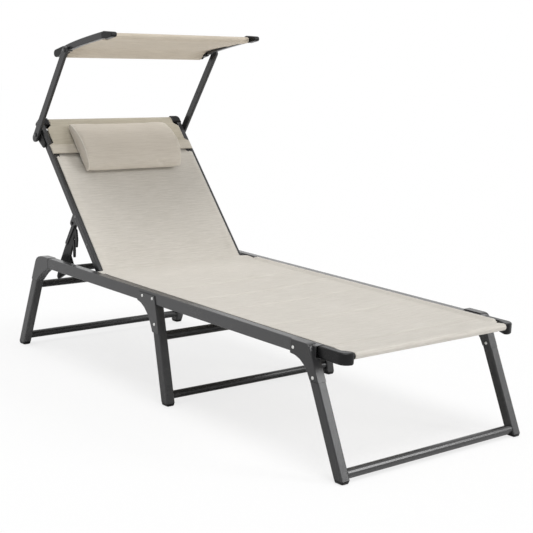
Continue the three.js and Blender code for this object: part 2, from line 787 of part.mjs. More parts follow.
function headrestHood() {
  const wide = backrestHalfSpan + gap;
  const pocket = (radius) => strapShape([[topBarPlace, 0, radius], [hoodHem, 0, radius]]);
  const solid = acrossX(pocket(hoodOutside), -wide, wide);
  const hollow = acrossX(pocket(hoodBore), -wide - overrun, wide + overrun);
  const below = block([-railHalfSpan, railHalfSpan], [0, hoodHem], [-armLength, armLength]);
  const shoulders = sides.flatMap(([side]) => [
    block(span(side, hoodHalfWidth, railHalfSpan), [hoodShoulder, 2 * armPlace], [-armLength, armLength]),
    block(span(side, cornerCapInner - gap, railHalfSpan),
      [backrestTubeEnd - castingBevel, 2 * armPlace], [-armLength, armLength]),
  ]);
  return cutBy(solid, hollow, below, ...shoulders);
}

piece(backrest, 'headrest_hood', headrestHood(), 'cloth');

// Pillow: a wedge bolster with a flat back, a full front and drawn-in ends

function pillow() {
  const back = hoodOutside + gap;
  const front = back + pillowDepth;
  const brow = pillowLow + pillowBrow;
  const edge = back + pillowEdge;
  const outline = new THREE.Shape();
  outline.moveTo(pillowLow + pillowRound, back);
  outline.bezierCurveTo(pillowLow, back, pillowLow, edge,
    pillowLow + pillowRound / 2, back + pillowDepth / 2);
  outline.bezierCurveTo(pillowLow + pillowRound, front, brow - pillowLead, front,
    brow, front - pillowPiping);
  outline.bezierCurveTo(pillowHigh - 2 * pillowRound, front - pillowDepth / 4, pillowHigh,
    back + pillowFall, pillowHigh, edge);
  outline.bezierCurveTo(pillowHigh, back, pillowHigh - pillowRound / 2, back,
    pillowHigh - pillowRound, back);
  outline.closePath();
  const geometry = acrossX(outline, -pillowHalfWidth, pillowHalfWidth,
    pillowPiping, pillowSteps, roundSteps);
  const place = geometry.attributes.position;
  for (let index = 0; index < place.count; index += 1) {
    const across = place.getX(index) / pillowHalfWidth;
    const crown = 1 + pillowCrownShare * (1 - across * across);
    place.setZ(index, back + (place.getZ(index) - back) * crown);
  }
  return geometry;
}

piece(backrest, 'pillow', pillow(), 'padding');

// Prop: a toothed rack behind each backrest tube, joined by one axle

const backrestTurn = THREE.MathUtils.degToRad(backrestAngleDegrees);
const propY = pivotY + propPlace * Math.cos(backrestTurn) + propBehind * Math.sin(backrestTurn);
const propZ = pivotHeight + propPlace * Math.sin(backrestTurn) - propBehind * Math.cos(backrestTurn);
prop.position.set(0, propY, propZ);
prop.rotation.x = THREE.MathUtils.degToRad(propAngleDegrees);

// The rack is a wedge with two fingers on its foot side; each finger ends over a notch that opens downward.
// Discs are given as shares of the rack's length and width, with a radius as a share of the width.
const wedgeShares = [[0.5, 0.4, 0.07], [0.72, -0.12, 0.1], [1, 0.02, 0.14]];
const toothShares = [[0.52, 0.36, 0.08], [0.62, 0.93, 0.07], [0.74, 0.74, 0.07], [1, 0.02, 0.14]];
const fingerShares = [
  [[0.1, 0.25, 0.12], [0.2, 0.54, 0.1], [0.29, 0.7, 0.065]],
  [[0.27, 0.34, 0.1], [0.38, 0.62, 0.085], [0.46, 0.78, 0.065]],
];

function rack(side) {
  const disc = ([along, out, radius]) => [rackLength * along, -rackWidth * out, rackWidth * radius];
  const xs = span(side, rackOuterHalfSpan - rackThickness, rackOuterHalfSpan);
  const wedge = acrossX(strapShape([[0, 0, rackNeckRadius], ...wedgeShares.map(disc)]), ...xs);
  const fingers = fingerShares.flatMap((finger) => finger.slice(1).map((share, index) => {
    return acrossX(strapShape([disc(finger[index]), disc(share)]), ...xs);
  }));
  const tooth = acrossX(strapShape(toothShares.map(disc)), ...xs);
  const bore = rod(0, 0, propAxleRadius + gap, ...span(side, 0, railInner));
  return cutBy(joined(wedge, tooth, ...fingers), bore);
}

function stiffener(side) {
  const outline = strapShape([
    [0, 0, stiffenerRadius],
    [stiffenerLength, rackBack - stiffenerRadius / 2, stiffenerRadius / 2],
    [stiffenerLength, rackBack - stiffenerRadius, stiffenerRadius / 2],
  ]);
  const xs = span(side, rackOuterHalfSpan + gap, rackOuterHalfSpan + gap + stiffenerThickness - gap);
  return acrossX(outline, ...xs);
}

const axleReach = lugInner + propLugThickness + 2 * tubeWall;
const axle = rod(0, 0, propAxleRadius, -axleReach, axleReach);
piece(prop, 'prop_axle', joined(axle, ...sides.map(([side]) => stiffener(side))), 'steel');
for (const [side, hand] of sides) {
  piece(prop, `prop_rack_${hand}`, rack(side), 'blackPlastic');
}

// Canopy arms

const armTurn = THREE.MathUtils.degToRad(armAngleDegrees);
const armY = pivotY + armPlace * Math.cos(backrestTurn) + armBehind * Math.sin(backrestTurn);
const armZ = pivotHeight + armPlace * Math.sin(backrestTurn) - armBehind * Math.cos(backrestTurn);
arms.position.set(0, armY, armZ);
arms.rotation.x = armTurn;

function canopyArm(side) {
  const [low, high] = span(side, armInnerHalfSpan, armInnerHalfSpan + armThickness);
  const outside = strapShape([[-armTail, 0, armWidth / 2], [armLength, 0, armWidth / 2]]);
  const inside = strapShape([
    [-armTail, 0, armWidth / 2 - 2 * armWall],
    [armLength, 0, armWidth / 2 - 2 * armWall],
  ]);
  const drain = rod(armLength / 2, 0, drainRadius,
    ...span(side, armInnerHalfSpan - overrun, armInnerHalfSpan + armWall * 2));
  const cavity = acrossX(inside, low + armWall, high - armWall);
  const hollow = cutBy(acrossX(outside, low, high, castingBevel), cavity, drain);
  const pivot = armBolt(side, 0, backrestHalfSpan + 2 * gap);
  const tilt = armBolt(side, armLength, canopyTubeHalfSpan - canopyTubeWidth - gap);
  return joined(hollow, pivot, tilt);
}

// A pin fixed in an arm: its shaft reaches in to the part that turns on it, its head lies outside the arm

function armBolt(side, place, inner) {
  const face = armInnerHalfSpan + armThickness;
  const shaft = rod(place, 0, armBoltRadius, ...span(side, inner, face));
  const head = rod(place, 0, boltHeadRadius, ...span(side, face - gap, face + boltHeadHeight));
  return joined(shaft, head);
}

for (const [side, hand] of sides) {
  piece(arms, `canopy_arm_${hand}`, canopyArm(side), 'graphite');
}

// Canopy frame: the side tubes rise to the front and bend down behind the tilt bolts

const canopyY = armY + armLength * Math.cos(armTurn);
const canopyZ = armZ + armLength * Math.sin(armTurn);
canopy.position.set(0, canopyY, canopyZ);

const tubeFront = new THREE.Vector2(-canopyReach, canopyRise);
const rearBar = new THREE.Vector2(canopyRearBarPlace, -canopyRearBarDrop);
const frontBar = new THREE.Vector2(-canopyReach - canopyFrontBarAhead, canopyRise - canopyFrontBarDrop);
const sideLine = new THREE.QuadraticBezierCurve(
  new THREE.Vector2(canopyTail / 4, canopyTubeLift / 2),
  new THREE.Vector2(-canopyReach / 4, canopyTubeLift + canopyRise / 3),
  tubeFront);

function canopyBox(side, shape, bevel) {
  const xs = span(side, canopyTubeHalfSpan - canopyTubeWidth, canopyTubeHalfSpan);
  return acrossX(shape, ...xs, bevel);
}

function tiltBore(side) {
  return rod(0, 0, armBoltRadius + gap, ...span(side, canopyTubeHalfSpan - 2 * canopyTubeWidth, railInner));
}

function canopySideTube(side) {
  const shape = bandShape(sideLine, () => canopyTubeDepth / 2, tubeSteps);
  return cutBy(canopyBox(side, shape, castingBevel), tiltBore(side));
}

function canopyFrontCap(side) {
  const outline = strapShape([
    [frontBar.x, frontBar.y, canopyBarRadius + tubeWall],
    [tubeFront.x - canopyNoseAhead, canopyRise + canopyNoseRise, canopyNoseRadius],
    [tubeFront.x - canopyBarRadius, canopyRise + tubeWall, canopyTubeDepth / 2],
  ]);
  const inner = canopyTubeHalfSpan - canopyTubeWidth - overrun;
  const shell = acrossX(outline, ...span(side, inner, canopyTubeHalfSpan + gap), castingBevel);
  const clear = canopyBox(side, bandShape(sideLine, () => canopyTubeDepth / 2 + gap, tubeSteps), 0);
  const trim = block(span(side, inner - overrun, railInner),
    [tubeFront.x - gap, 0], [-armLength, armLength]);
  const socket = rod(frontBar.x, frontBar.y, canopyBarRadius + gap,
    ...span(side, 0, canopyTubeHalfSpan - canopyTubeWidth / 2));
  return cutBy(shell, clear, trim, socket);
}

function canopyRearElbow(side) {
  const start = sideLine.getPoint(0);
  const outline = strapShape([
    [start.x + canopyTubeDepth / 2, start.y - canopyTubeLift / 2, canopyTailRadius],
    [canopyTail, -canopyTailDrop, canopyTailRadius],
  ]);
  const inner = canopyTubeHalfSpan - canopyTubeWidth - overrun;
  const shell = acrossX(outline, ...span(side, inner, canopyTubeHalfSpan + gap), castingBevel);
  const clear = acrossX(bandShape(sideLine, () => canopyTubeDepth / 2 + gap, tubeSteps),
    ...span(side, inner - overrun, railInner));
  const socket = rod(rearBar.x, rearBar.y, canopyBarRadius + gap,
    ...span(side, 0, canopyTubeHalfSpan - canopyTubeWidth / 2));
  return cutBy(shell, clear, socket, tiltBore(side));
}

const canopyBarReach = canopyTubeHalfSpan - canopyTubeWidth / 2 - gap;
for (const [side, hand] of sides) {
  piece(canopy, `canopy_side_tube_${hand}`, canopySideTube(side), 'graphite');
  piece(canopy, `canopy_front_cap_${hand}`, canopyFrontCap(side), 'blackPlastic');
  piece(canopy, `canopy_rear_elbow_${hand}`, canopyRearElbow(side), 'blackPlastic');
}
piece(canopy, 'canopy_front_bar',
  pipe(frontBar.x, frontBar.y, canopyBarRadius, -canopyBarReach, canopyBarReach), 'graphite');
piece(canopy, 'canopy_rear_bar',
  pipe(rearBar.x, rearBar.y, canopyBarRadius, -canopyBarReach, canopyBarReach), 'graphite');

// Canopy cloth: one bowed sheet under the frame with a sleeve round the front and the rear bar

function canopyCloth() {
  const half = canopyTubeHalfSpan - canopyTubeWidth - overrun - gap;
  const below = canopyBarRadius + gap + clothThickness / 2;
  const crest = new THREE.Vector2(
    (frontBar.x + rearBar.x) / 2, (frontBar.y + rearBar.y) / 2 - below + 2 * canopyBow);
  const line = new THREE.QuadraticBezierCurve(
    new THREE.Vector2(rearBar.x, rearBar.y - below), crest,
    new THREE.Vector2(frontBar.x, frontBar.y - below));
  const sheet = acrossX(bandShape(line, () => clothThickness / 2, clothSteps), -half, half);
  const loops = [rearBar, frontBar].map((bar) => sleeve(bar.x, bar.y, canopyBarRadius, -half, half));
  const bores = [rearBar, frontBar].map((bar) => {
    return rod(bar.x, bar.y, canopyBarRadius + gap, -railHalfSpan, railHalfSpan);
  });
  return cutBy(joined(sheet, ...loops), ...bores);
}

piece(canopy, 'canopy_cloth', canopyCloth(), 'cloth');

lounger.add(backrest, prop, arms, canopy);

// The origin is the middle of the footprint, on the ground
const extent = new THREE.Box3().setFromObject(lounger, true);
const middle = extent.getCenter(new THREE.Vector3());
lounger.position.set(-middle.x, -middle.y, -extent.min.z);

export default lounger;
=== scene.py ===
# Looks of the sun lounger with canopy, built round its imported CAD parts.
# Metres, +Z up, +Y from the foot end to the head end. Right and left are the sitter's.
import math

import bmesh
import bpy
from mathutils import Matrix, Vector, noise
from mathutils.bvhtree import BVHTree


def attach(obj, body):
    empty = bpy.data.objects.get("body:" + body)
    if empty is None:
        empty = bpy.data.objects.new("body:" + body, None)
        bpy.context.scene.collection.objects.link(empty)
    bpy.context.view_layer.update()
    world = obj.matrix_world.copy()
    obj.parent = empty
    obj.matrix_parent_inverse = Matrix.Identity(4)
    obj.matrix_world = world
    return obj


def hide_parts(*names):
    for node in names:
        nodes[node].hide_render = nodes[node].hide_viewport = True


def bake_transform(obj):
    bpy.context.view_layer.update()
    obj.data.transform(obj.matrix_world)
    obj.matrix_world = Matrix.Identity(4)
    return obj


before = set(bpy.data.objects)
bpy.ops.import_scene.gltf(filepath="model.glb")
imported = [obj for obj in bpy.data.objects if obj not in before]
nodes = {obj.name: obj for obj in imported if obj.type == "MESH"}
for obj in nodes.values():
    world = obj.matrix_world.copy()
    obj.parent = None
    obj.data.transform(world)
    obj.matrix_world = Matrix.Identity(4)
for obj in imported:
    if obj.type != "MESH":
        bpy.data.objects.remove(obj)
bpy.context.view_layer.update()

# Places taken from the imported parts, in the part's own frame. Pairs are (Y, Z).
HINGE = Vector((0, 0.40983, 0.327))
RECLINE = math.radians(48.8)
ARM_PIN = (0.797302, 0.749872)
TILT_PIN = Vector((0, 0.617187, 1.048452))
FOOT_BAR = (-0.797372, 0.331)
FOOT_BAR_RADIUS = 0.008
SEAT_PLANE = 0.3352
SEAT_BAR = (0.369628, 0.3267)
SEAT_BAR_RADIUS = 0.009

# Places on the backrest: along it from the hinge, or out of its front
LOWER_BAR_PLACE = 0.032
LOWER_BAR_RADIUS = 0.007
TOP_BAR_PLACE = 0.612
TOP_BAR_RADIUS = 0.010
BACK_PLANE = 0.006
BACK_OPEN_PLANE = 0.0100
TUBE_FRONT = 0.0134

# Places on the canopy, as (Y, Z) from the tilt pins
CANOPY_FRONT = (-0.2195, 0.056)
CANOPY_REAR = (0.050, -0.0165)
CANOPY_TUBE = ((0.019, 0.004), (-0.05075, 0.0272), (-0.203, 0.0575))
CANOPY_TUBE_HALF_DEPTH = 0.011
CANOPY_BAR_RADIUS = 0.008

# Half widths of the cloths: at the foot caps, on the rails, on the backrest tubes, between
# the corner caps, on the canopy's bars and between its side tubes
CAP_HALF = 0.3053
SEAT_HALF = 0.3224
BACK_HALF = 0.2905
HEAD_HALF = 0.2630
CANOPY_HALF = 0.2830
TUBE_INSIDE = 0.2894

# Cloth and sewing
CLOTH = 0.0014
THREAD_PITCH = 0.0013
STITCH = 0.0042
STITCH_GAP = 0.0018
STITCH_RADIUS = 0.0004

# A direction that no cord or row of stitches follows, to turn their sections by
ASKEW = Vector((0.31, 0.17, 0.93))


def on_back(across, along, out):
    """A point of the backrest: across it, along it from the hinge, and out of its front."""
    return Vector((
        across,
        HINGE.y + along * math.cos(RECLINE) - out * math.sin(RECLINE),
        HINGE.z + along * math.sin(RECLINE) + out * math.cos(RECLINE),
    ))


def back_place(y, z):
    """The reverse: how far a point lies along the backrest, and out of its front."""
    y, z = y - HINGE.y, z - HINGE.z
    return (y * math.cos(RECLINE) + z * math.sin(RECLINE),
            z * math.cos(RECLINE) - y * math.sin(RECLINE))


def smooth_step(value, low, high):
    share = min(max((value - low) / (high - low), 0), 1)
    return share * share * (3 - 2 * share)


def between(value, rise, fall):
    """1 between two ranges: it rises from 0 over the first and falls back over the second."""
    return smooth_step(value, *rise) * (1 - smooth_step(value, *fall))


def eased(first, second, value, low, high):
    """Goes smoothly from first to second while value goes from low to high."""
    return first + (second - first) * smooth_step(value, low, high)


# Finishes

def screen(red, green, blue):
    """A colour given as it looks on a screen, 0 to 255, as the linear values a shader takes."""
    def linear(value):
        share = value / 255
        return share / 12.92 if share <= 0.04045 else ((share + 0.055) / 1.055) ** 2.4
    return (linear(red), linear(green), linear(blue), 1)


def scaled(colour, share):
    return tuple(min(value * share, 1) for value in colour[:3]) + (1,)


class Wire:
    """A node's output that takes part in sums; each sum adds a Math node."""

    def __init__(self, owner, socket):
        self.owner = owner
        self.socket = socket

    def math(self, operation, *values):
        inputs = dict(enumerate(values))
        return self.owner.node("ShaderNodeMath", {"operation": operation}, inputs)

    def __add__(self, other):
        return self.math("ADD", self, other)

    __radd__ = __add__

    def __mul__(self, other):
        return self.math("MULTIPLY", self, other)

    __rmul__ = __mul__

    def __sub__(self, other):
        return self.math("SUBTRACT", self, other)

    def __rsub__(self, other):
        return self.math("SUBTRACT", other, self)

    def sine(self):
        return self.math("SINE", self)

    def size(self):
        return self.math("ABSOLUTE", self)

    def low(self, other):
        return self.math("MINIMUM", self, other)

    def high(self, other):
        return self.math("MAXIMUM", self, other)


class Nodes:
    """A node tree whose nodes all come from one method."""

    def __init__(self, tree):
        self.tree = tree

    def node(self, kind, settings=None, inputs=None, output=0):
        made = self.tree.nodes.new(kind)
        for key, value in (settings or {}).items():
            setattr(made, key, value)
        for key, value in (inputs or {}).items():
            self.feed(made.inputs[key], value)
        return Wire(self, made.outputs[output])

    def feed(self, socket, value):
        if isinstance(value, Wire):
            self.tree.links.new(value.socket, socket)
        else:
            socket.default_value = value

    def ray(self, kind):
        return self.node("ShaderNodeLightPath", output=kind)


class Finish(Nodes):
    """A material with one Principled shader."""

    def __init__(self, name, sockets):
        self.material = bpy.data.materials.new(name)
        self.material.use_nodes = True
        super().__init__(self.material.node_tree)
        self.shader = self.tree.nodes["Principled BSDF"]
        for key, value in sockets.items():
            self.set(key, value)

    def set(self, socket, value):
        self.feed(self.shader.inputs[socket], value)

    def place(self):
        return self.node("ShaderNodeTexCoord", output="Object")

    def noise(self, scale, detail, vector=None, roughness=0.5):
        return self.node("ShaderNodeTexNoise", {}, {
            "Vector": vector or self.place(), "Scale": scale, "Detail": detail,
            "Roughness": roughness})

    def stretch(self, vector, factors):
        return self.node("ShaderNodeVectorMath", {"operation": "MULTIPLY"},
                         {0: vector, 1: factors})

    def split(self, vector):
        return [self.node("ShaderNodeSeparateXYZ", {}, {0: vector}, output=axis)
                for axis in range(3)]

    def mix(self, factor, first, second):
        return self.node("ShaderNodeMix", {"data_type": "RGBA"},
                         {0: factor, 6: first, 7: second}, output=2)

    def bump(self, height, distance, strength):
        return self.node("ShaderNodeBump", {}, {
            "Strength": strength, "Distance": distance, "Height": height})


def powder_coat(name, tone, roughness, shine=0.5):
    """Fine powder-coated metal: a slight orange peel, with dust and rubbed patches."""
    finish = Finish(name, {"Specular IOR Level": shine})
    colour = screen(*tone)
    grain = finish.noise(1400, 2)
    cloud = finish.noise(14, 3)
    finish.set("Base Color", finish.mix(cloud, colour, scaled(colour, 1.3)))
    finish.set("Roughness", cloud * 0.10 + grain * 0.06 + (roughness - 0.08))
    finish.set("Normal", finish.bump(grain, 0.00012, 0.55))
    return finish.material


def moulded_plastic(name, tone, roughness, shine):
    """Moulded plastic with a fine spark-eroded grain and a few scuffs."""
    finish = Finish(name, {"Specular IOR Level": shine})
    colour = screen(*tone)
    grain = finish.noise(2200, 3)
    scuff = finish.noise(60, 4, finish.stretch(finish.place(), (1, 1, 3)))
    finish.set("Base Color", finish.mix((scuff - 0.5) * 1.4, colour, scaled(colour, 1.5)))
    finish.set("Roughness", scuff * 0.16 + (roughness - 0.08))
    finish.set("Normal", finish.bump(grain, 0.00015, 0.5))
    return finish.material


def bright_metal(name, tone, roughness):
    """Brushed or drawn metal with fine lines."""
    finish = Finish(name, {"Metallic": 0.9})
    colour = screen(*tone)
    lines = finish.noise(260, 3, finish.stretch(finish.place(), (1, 9, 1)))
    finish.set("Base Color", finish.mix(lines, colour, scaled(colour, 0.82)))
    finish.set("Roughness", lines * 0.14 + (roughness - 0.07))
    finish.set("Normal", finish.bump(lines, 0.00006, 0.4))
    return finish.material


def woven(name, light, dark, pitch, relief, streaks=0.5, padded=True):
    """Woven cloth with slubby cross threads. A sheet's threads follow its own lengths."""
    finish = Finish(name, {"Roughness": 0.9, "Sheen Weight": 0.15, "Sheen Roughness": 0.6,
                           "Specular IOR Level": 0.25})
    if padded:
        place = finish.place()
    else:
        place = finish.node("ShaderNodeAttribute", {"attribute_name": "cloth_place"},
                            output="Vector")
    across, along, deep = finish.split(place)
    if padded:
        along = along + deep
    warp = (across * (math.pi / pitch)).sine()
    weft = (along * (math.pi / pitch)).sine()
    over = warp * weft * 0.5 + 0.5
    thread = warp.size().high(weft.size())
    slub = finish.noise(55, 3, finish.stretch(place, (1, 14, 14)))
    long_slub = finish.noise(13, 4, finish.stretch(place, (1, 24, 24)), 0.6)
    cloud = finish.noise(5, 3)
    uneven = (slub - 0.5) * streaks + (long_slub - 0.5) * (streaks * 2.4)
    tone = over * 0.2 + uneven + (cloud - 0.5) * 0.35 + 0.4
    finish.set("Base Color", finish.mix(tone.high(0).low(1), screen(*dark), screen(*light)))
    height = thread * 0.6 + over * 0.4 + slub * 0.3 + long_slub * 0.5
    finish.set("Normal", finish.bump(height, relief, 0.6))
    return finish.material


def mesh_cloth(name, light, dark):
    """The stretched cloth of the lounger, in the tones of one of its sheets."""
    return woven(name, light, dark, THREAD_PITCH, relief=0.0004, streaks=0.7, padded=False)


GRAPHITE = powder_coat("graphite powder coat", (54, 54, 55), 0.25, 0.6)
# A darker copy of the graphite coat for the legs and foot brackets: painted shade, as these
# parts stand low and under the seat.
SHADED_LEG_COAT = powder_coat("shaded leg powder coat", (44, 44, 45), 0.26, 0.42)
POLISHED_COAT = powder_coat("smooth bar coat", (38, 38, 39), 0.17, 0.6)
DARK_COAT = powder_coat("dark powder coat", (30, 30, 31), 0.26, 0.4)
# A darker copy of the graphite coat for the backrest tubes, canopy arms and canopy side tubes:
# painted shade.
SHADED_UPPER_COAT = powder_coat("shaded upper frame powder coat", (42, 42, 43), 0.24, 0.45)
PLASTIC = moulded_plastic("black moulded plastic", (17, 17, 18), 0.29, 0.22)
STEEL = bright_metal("drawn steel", (176, 177, 178), 0.32)
RIVET = bright_metal("bright rivet", (222, 222, 220), 0.30)
DULL_RIVET = powder_coat("coated rivet", (96, 96, 96), 0.30)
SLING_CLOTH = mesh_cloth("sling cloth", (223, 218, 210), (195, 190, 180))
HOOD_CLOTH = mesh_cloth("hood cloth", (191, 184, 168), (166, 158, 141))
HEM_CLOTH = mesh_cloth("hood hem cloth", (207, 201, 188), (184, 176, 162))
CANOPY_CLOTH = mesh_cloth("canopy cloth", (221, 210, 193), (188, 177, 160))
PILLOW_CLOTH = woven("pillow cloth", (222, 215, 203), (198, 189, 176),
                     pitch=0.0016, relief=0.0004)
# The piping cords are real; their cloth, lighter than the pillow's, is a painted highlight along
# their ridges.
LIT_PIPING_CLOTH = woven("lit pillow piping cloth", (232, 227, 217), (212, 205, 194),
                     pitch=0.0010, relief=0.0002)
THREAD = woven("sewing thread", (190, 182, 167), (172, 163, 148), pitch=0.0006, relief=0.0002)


# Mesh helpers

def make(name, points, faces, material):
    mesh = bpy.data.meshes.new(name)
    mesh.from_pydata([tuple(point) for point in points], [], faces)
    mesh.update()
    made = bpy.data.objects.new(name, mesh)
    bpy.context.scene.collection.objects.link(made)
    made.data.materials.append(material)
    shade_smooth(made)
    return made


def shade_smooth(made):
    for face in made.data.polygons:
        face.use_smooth = True


def settle(made):
    """Applies an object's modifiers to its mesh."""
    graph = bpy.context.evaluated_depsgraph_get()
    final = bpy.data.meshes.new_from_object(
        made.evaluated_get(graph), preserve_all_data_layers=True, depsgraph=graph)
    made.modifiers.clear()
    made.data = final


def make_cloth(name, points, places, faces, material, thickness):
    """A thick sheet of cloth that keeps its own lengths, places, for the weave."""
    made = make(name, points, faces, material)
    attribute = made.data.attributes.new("cloth_place", "FLOAT_VECTOR", "POINT")
    attribute.data.foreach_set("vector", [value for place in places for value in place])
    flat_area = sum(face.area for face in made.data.polygons)
    modifier = made.modifiers.new("thickness", "SOLIDIFY")
    modifier.thickness = thickness
    modifier.offset = 0
    settle(made)
    return made, flat_area


def grid_faces(rows, columns):
    """The faces of a grid of points, row by row."""
    row_points = columns + 1
    return [(corner, corner + 1, corner + row_points + 1, corner + row_points)
            for row in range(rows)
            for corner in range(row * row_points, row * row_points + columns)]


def ring_faces(first, second, around):
    """The faces between two rings, each given by the index of its first point."""
    return [(first + step, first + (step + 1) % around,
             second + (step + 1) % around, second + step) for step in range(around)]


def running_lengths(points):
    """The length along a line of points up to each of them."""
    lengths = [0.0]
    for first, second in zip(points, points[1:]):
        lengths.append(lengths[-1] + math.dist(first, second))
    return lengths


def resampled(points, spacing):
    """The same line with evenly spaced points."""
    lengths = running_lengths(points)
    count = max(2, round(lengths[-1] / spacing))
    made, index = [], 0
    for step in range(count + 1):
        target = lengths[-1] * step / count
        while index < len(points) - 2 and lengths[index + 1] < target:
            index += 1
        share = (target - lengths[index]) / max(lengths[index + 1] - lengths[index], 1e-9)
        made.append(tuple(a + (b - a) * share for a, b in zip(points[index], points[index + 1])))
    return made


def arc(centre, radius, start, end, steps):
    """Points of a circle's arc in (Y, Z), between two angles in degrees."""
    made = []
    for step in range(steps + 1):
        angle = math.radians(start + (end - start) * step / steps)
        made.append((centre[0] + radius * math.cos(angle), centre[1] + radius * math.sin(angle)))
    return made


def bend(points, share):
    """A point of the curve that leaves the first of three points, bends at the second and
    ends at the third."""
    rest = 1 - share
    return tuple(rest ** 2 * a + 2 * share * rest * b + share ** 2 * c
                 for a, b, c in zip(*points))


def over_top_bar(out, ahead, end, steps):
    """Points round the backrest's top bar, from out of its front to an angle behind it."""
    made = []
    for step in range(steps + 1):
        angle = math.radians(90 + (end - 90) * step / steps)
        made.append(on_back(0, TOP_BAR_PLACE + ahead * math.cos(angle), out * math.sin(angle)))
    return made


def cloth_sheet(name, path, half_at, lift_at, material, spacing, columns):
    """A sheet that follows a path in (Y, Z), as wide as half_at says, pushed out by lift_at.
    Its columns stand closer together towards the side edges."""
    path = resampled(path, spacing)
    lengths = running_lengths(path)
    points, places = [], []
    for row, (y, z) in enumerate(path):
        before, after = path[max(row - 1, 0)], path[min(row + 1, len(path) - 1)]
        run = math.dist(before, after)
        out = ((before[1] - after[1]) / run, (after[0] - before[0]) / run)
        half = half_at(lengths[row], y, z)
        for column in range(columns + 1):
            even = 2 * column / columns - 1
            share = even * (1.3 - 0.3 * even * even)
            push = lift_at(share, lengths[row], y, z)
            points.append((share * half, y + out[0] * push, z + out[1] * push))
            places.append((share * half, lengths[row], 0))
    faces = grid_faces(len(path) - 1, columns)
    made, flat_area = make_cloth(name, points, places, faces, material, CLOTH)
    return made, lengths[-1], flat_area


def tube(name, points, radius, material, around, closed=False):
    """A round cord along points."""
    count = len(points)
    vectors = [Vector(point) for point in points]
    rings, faces = [], []
    for index, point in enumerate(vectors):
        if closed:
            ahead, behind = vectors[(index + 1) % count], vectors[index - 1]
        else:
            ahead, behind = vectors[min(index + 1, count - 1)], vectors[max(index - 1, 0)]
        along = (ahead - behind).normalized()
        side = along.cross(ASKEW).normalized()
        up = side.cross(along)
        for step in range(around):
            angle = 2 * math.pi * step / around
            rings.append(point + (side * math.cos(angle) + up * math.sin(angle)) * radius)
    for index in range(count if closed else count - 1):
        faces += ring_faces(index * around, ((index + 1) % count) * around, around)
    if not closed:
        faces.append(tuple(range(around - 1, -1, -1)))
        faces.append(tuple(range((count - 1) * around, count * around)))
    return make(name, rings, faces, material)


def merged(name, pieces):
    """Several meshes as one piece."""
    first = pieces[0]
    joined = bmesh.new()
    for each in pieces:
        joined.from_mesh(each.data)
    joined.to_mesh(first.data)
    joined.free()
    for each in pieces[1:]:
        bpy.data.objects.remove(each)
    first.name = name
    return first


def stitches(name, points):
    """A row of short raised stitches along a line of points."""
    line = resampled([tuple(point) for point in points], STITCH / 4)
    made, current, start = [], [], 0.0
    for point, length in zip(line, running_lengths(line)):
        if length - start > STITCH:
            if len(current) > 1:
                made.append(tube("stitch", current, STITCH_RADIUS, THREAD, 5))
            current = []
            start += STITCH + STITCH_GAP
        if length >= start:
            current.append(point)
    return merged(name, made)


# Sling: one cloth from the foot bar, over the hinge, to the top of the backrest

# The hem's edge under the seat, the length of cloth turned under there, and its stitches
FOOT_HEM = -0.685
FOOT_TURN = 0.112
FOOT_HEM_ROW = FOOT_HEM - 0.012
FOOT_HEM_ROW_OUT = 0.0008
FOOT_HEM_ROW_HALF = 0.300

# The crease at the hinge, the sag between the bars, the quilting across the seat and the rise
# of the edges over the rails
CREASE = (0.4005, 0.3386)
CREASE_DEPTH = 0.0030
CREASE_WIDTH = 0.0045
SEAT_SAG = 0.0065
BACK_SAG = 0.005
RIPPLE = 0.0012
QUILT_LINES = (-0.685, -0.425, -0.217, -0.066, 0.10)
QUILT_DEPTH = 0.0046
QUILT_WIDTH = 0.006
QUILT_SLANT = 0.012
RAIL_RISE = 0.0068

# Where the sling changes width: by Y at the foot caps and the hinge, along the backrest at
# its head
CAP_EDGE = (-0.7665, -0.760)
HINGE_EDGE = (0.3955, 0.4005)
HEAD_EDGE = (0.468, 0.480)

# Where the seat and the back hang free, and where the side edges lie on the rails and the
# tubes: the range over which each begins, and the range over which it ends
SEAT_SPAN = ((-0.78, -0.62), (0.26, 0.37))
BACK_SPAN = ((0.05, 0.18), (0.44, 0.58))
RAIL_SPAN = ((-0.7590, -0.7480), (0.335, 0.352))
TUBE_SPAN = ((0.004, 0.016), (0.455, 0.4745))

# Shares of the half width over which the cloth rises to its side edges, or the crease ends
RAIL_SIDE = (0.935, 0.972)
TUBE_SIDE = (0.86, 0.968)
CREASE_SIDE = (0.86, 0.95)


def sling_path():
    foot_end = [(FOOT_HEM, SEAT_PLANE - 1.6 * CLOTH)]
    foot_end += arc(FOOT_BAR, FOOT_BAR_RADIUS + CLOTH, -78, -270, 18)
    seat = [(FOOT_BAR[0] + 0.05, SEAT_PLANE), (SEAT_BAR[0] - 0.06, SEAT_PLANE),
            (SEAT_BAR[0], SEAT_BAR[1] + SEAT_BAR_RADIUS + 0.7 * CLOTH), CREASE]
    on_lower_bar = LOWER_BAR_RADIUS + 0.8 * CLOTH
    on_top_bar = TOP_BAR_RADIUS + 0.8 * CLOTH
    back = [on_back(0, LOWER_BAR_PLACE + 0.012 * step, on_lower_bar - 0.0006 * step)
            for step in range(3)]
    back += [on_back(0, along, out) for along, out in (
        (0.10, BACK_OPEN_PLANE), (0.455, BACK_OPEN_PLANE), (0.477, BACK_PLANE),
        (0.56, BACK_PLANE))]
    back += over_top_bar(on_top_bar, on_top_bar, end=-99, steps=14)
    back.append(on_back(0, TOP_BAR_PLACE - 0.036, BACK_PLANE - 2 * CLOTH))
    return foot_end + seat + [(point.y, point.z) for point in back]


def sling_half(length, y, z):
    if y < CAP_EDGE[0] or length < FOOT_TURN:
        return CAP_HALF
    along, _ = back_place(y, z)
    half = eased(CAP_HALF, SEAT_HALF, y, *CAP_EDGE)
    half = eased(half, BACK_HALF, y, *HINGE_EDGE)
    return eased(half, HEAD_HALF, along, *HEAD_EDGE)


